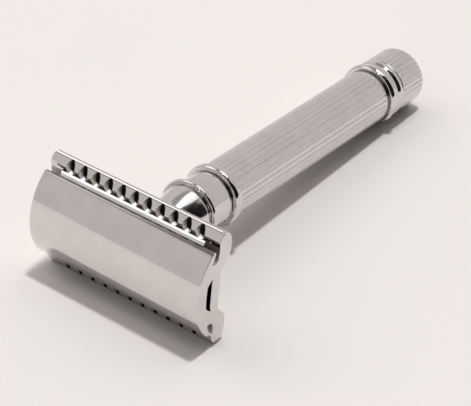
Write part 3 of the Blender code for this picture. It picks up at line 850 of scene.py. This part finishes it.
def make_camera():
    """Camera at the photo's place, aimed near the middle of the CAD box."""
    a = math.radians(CAMERA_AZIMUTH)
    e = math.radians(CAMERA_ELEVATION)
    back = Vector((math.sin(a) * math.cos(e), -math.cos(a) * math.cos(e), math.sin(e)))
    level = Vector((0.0, 0.0, 1.0)).cross(back).normalized()
    roll = math.radians(CAMERA_ROLL)
    right = level * math.cos(roll) + back.cross(level) * math.sin(roll)
    up = back.cross(right)
    camera = bpy.data.objects.new("camera", bpy.data.cameras.new("camera"))
    aim = (CAD_LOW + CAD_HIGH) / 2.0 + CAMERA_AIM
    turn = Matrix((right, up, back)).transposed().to_4x4()
    camera.matrix_world = Matrix.Translation(aim + back * CAMERA_DISTANCE) @ turn
    camera.data.lens = CAMERA_LENS
    camera.data.sensor_width = SENSOR_WIDTH
    camera.data.sensor_fit = 'HORIZONTAL'
    camera.data.clip_start = 0.01
    camera.data.clip_end = 20.0
    bpy.context.scene.collection.objects.link(camera)
    bpy.context.scene.camera = camera


def make_floor():
    """Smooth pale paper with a trace of tooth, and painted shade that darkens it close to what stands on
    it.
    """
    bm = bmesh.new()
    corners = [bm.verts.new((x * PAPER_HALF_SIZE, y * PAPER_HALF_SIZE, 0.0))
               for x, y in ((-1.0, -1.0), (1.0, -1.0), (1.0, 1.0), (-1.0, 1.0))]
    bm.faces.new(corners)
    mesh = bpy.data.meshes.new("floor")
    bm.to_mesh(mesh)
    bm.free()
    floor = bpy.data.objects.new("floor", mesh)
    bpy.context.scene.collection.objects.link(floor)
    nodes = Nodes("paper")
    tooth = nodes.noise(0.9, 4.0)
    # Ambient occlusion paints shade onto the paper close to the razor.
    contact = nodes.add('ShaderNodeAmbientOcclusion', samples=16)
    contact.inputs["Distance"].default_value = CONTACT_REACH * MM
    shade = nodes.remap(contact.outputs["AO"], 0.3, 0.85, CONTACT_SHADE, 1.0)
    cloud = nodes.remap(nodes.noise(0.02, 2.0), 0.3, 0.7, 0.0, 1.0)
    paper = nodes.tint(cloud, PAPER, [c * 1.01 for c in PAPER])
    darker = nodes.add('ShaderNodeVectorMath', operation='SCALE')
    nodes.link(paper, darker.inputs[0])
    nodes.link(shade, darker.inputs["Scale"])
    nodes.link(darker.outputs[0], nodes.shader.inputs["Base Color"])
    nodes.shader.inputs["Roughness"].default_value = 0.9
    nodes.shader.inputs["Specular IOR Level"].default_value = 0.1
    nodes.bump(((tooth, 0.08),), 0.05)
    mesh.materials.append(nodes.material)


def add_softbox(name, azimuth, elevation, half_angle, radiance, distance=4.0):
    """Round light in a direction from the origin, with a half angle in degrees, distance in m."""
    light = bpy.data.lights.new(name, 'AREA')
    light.shape = 'DISK'
    light.size = 2.0 * distance * math.tan(math.radians(half_angle))
    light.energy = radiance * math.pi * math.pi * (light.size / 2.0) ** 2
    light.color = (1.0, 0.99, 0.98)
    obj = bpy.data.objects.new(name, light)
    way = direction(azimuth, elevation)
    obj.location = way * distance
    obj.rotation_euler = way.to_track_quat('Z', 'Y').to_euler()
    bpy.context.scene.collection.objects.link(obj)


def make_room():
    """Pale walls and a dimmer ceiling round the razor.

    As the camera sees it, the far wall is lit a little more than the others, the ceiling is lit
    on the left half only, and the room's unlit side is on the right.
    """
    world = bpy.data.worlds.new("room")
    bpy.context.scene.world = world
    world.use_nodes = True
    tree = world.node_tree
    tree.nodes.clear()

    def add(kind, **values):
        node = tree.nodes.new(kind)
        for key, value in values.items():
            setattr(node, key, value)
        return node

    def ramp(value, low, high, to_low, to_high):
        node = add('ShaderNodeMapRange', interpolation_type='SMOOTHSTEP')
        set_range(node, low, high, to_low, to_high)
        tree.links.new(value, node.inputs["Value"])
        return node.outputs["Result"]

    def multiply(one, two):
        node = add('ShaderNodeMath', operation='MULTIPLY')
        tree.links.new(one, node.inputs[0])
        tree.links.new(two, node.inputs[1])
        return node.outputs[0]

    way = add('ShaderNodeTexCoord').outputs["Generated"]
    height = add('ShaderNodeSeparateXYZ')
    tree.links.new(way, height.inputs[0])
    height = height.outputs["Z"]
    flat = add('ShaderNodeVectorMath', operation='MULTIPLY')
    flat.inputs[1].default_value = (1.0, 1.0, 0.0)
    tree.links.new(way, flat.inputs[0])
    unit = add('ShaderNodeVectorMath', operation='NORMALIZE')
    tree.links.new(flat.outputs[0], unit.inputs[0])
    facing = add('ShaderNodeVectorMath', operation='DOT_PRODUCT')
    facing.inputs[1].default_value = direction(DARK_AZIMUTH, 0.0)
    tree.links.new(unit.outputs[0], facing.inputs[0])

    half = math.radians(DARK_HALF_WIDTH)
    edge = math.radians(DARK_EDGE)
    dark_side = ramp(facing.outputs["Value"], math.cos(half + edge), math.cos(half - edge), 0.0, 1.0)
    dark_height = ramp(height, math.sin(math.radians(DARK_TOP - DARK_EDGE)),
                       math.sin(math.radians(DARK_TOP + DARK_EDGE)), 1.0, 0.0)
    keep = ramp(multiply(dark_side, dark_height), 0.0, 1.0, 1.0, 0.02)
    toward_left = add('ShaderNodeVectorMath', operation='DOT_PRODUCT')
    toward_left.inputs[1].default_value = direction(CEILING_AZIMUTH, 0.0)
    tree.links.new(unit.outputs[0], toward_left.inputs[0])
    ceiling = ramp(toward_left.outputs["Value"], -0.25, 0.25, CEILING_DIM, CEILING_LIT)
    high = ramp(height, math.sin(math.radians(WALL_TOP - WALL_EDGE)),
                math.sin(math.radians(WALL_TOP + WALL_EDGE)), 0.0, 1.0)
    walls = add('ShaderNodeMix', data_type='FLOAT')
    walls.inputs["A"].default_value = 1.0
    tree.links.new(high, walls.inputs["Factor"])
    tree.links.new(ceiling, walls.inputs["B"])
    walls = walls.outputs["Result"]
    toward_window = add('ShaderNodeVectorMath', operation='DOT_PRODUCT')
    toward_window.inputs[1].default_value = direction(BRIGHT_AZIMUTH, 0.0)
    tree.links.new(unit.outputs[0], toward_window.inputs[0])
    lift = ramp(toward_window.outputs["Value"], math.cos(math.radians(BRIGHT_HALF_WIDTH + BRIGHT_EDGE)),
                math.cos(math.radians(BRIGHT_HALF_WIDTH - BRIGHT_EDGE)), 1.0, BRIGHT_SHARE)
    light = multiply(multiply(walls, keep), lift)

    room = add('ShaderNodeBackground')
    room.inputs["Color"].default_value = (*WALL, 1.0)
    tree.links.new(light, room.inputs["Strength"])
    backdrop = add('ShaderNodeBackground')
    backdrop.inputs["Color"].default_value = (*PAPER, 1.0)
    seen = add('ShaderNodeMixShader')
    tree.links.new(add('ShaderNodeLightPath').outputs["Is Camera Ray"], seen.inputs[0])
    tree.links.new(room.outputs[0], seen.inputs[1])
    tree.links.new(backdrop.outputs[0], seen.inputs[2])
    tree.links.new(seen.outputs[0], add('ShaderNodeOutputWorld').inputs["Surface"])


def make_studio():
    """Paper, room, a small key light high above, a glow round it and a soft light on the left."""
    bpy.context.scene.view_settings.view_transform = 'Standard'
    make_floor()
    make_room()
    add_softbox("key", 42.0, 85.8, 2.5, KEY_RADIANCE)
    add_softbox("key_glow", 10.0, 66.0, 17.0, 1.25, 4.5)
    add_softbox("left_box", -104.0, 52.0, 18.0, 1.3)


make_camera()
make_studio()
make_cap()
make_stud()
make_pins()
make_blade()
make_base_plate()
make_bead()
make_spacer("groove_front", "front_spacer", RING_CHROME)
make_collar()
# The rings in the grooves behind the collar and before the knob get painted shade.
make_spacer("groove_collar", "collar_spacer", GROOVE_SHADE_METAL)
make_grip_ring()
make_grip()
make_spacer("groove_rear", "rear_spacer", GROOVE_SHADE_METAL)
make_knob_ring()
make_knob()
dress_hidden_pieces()
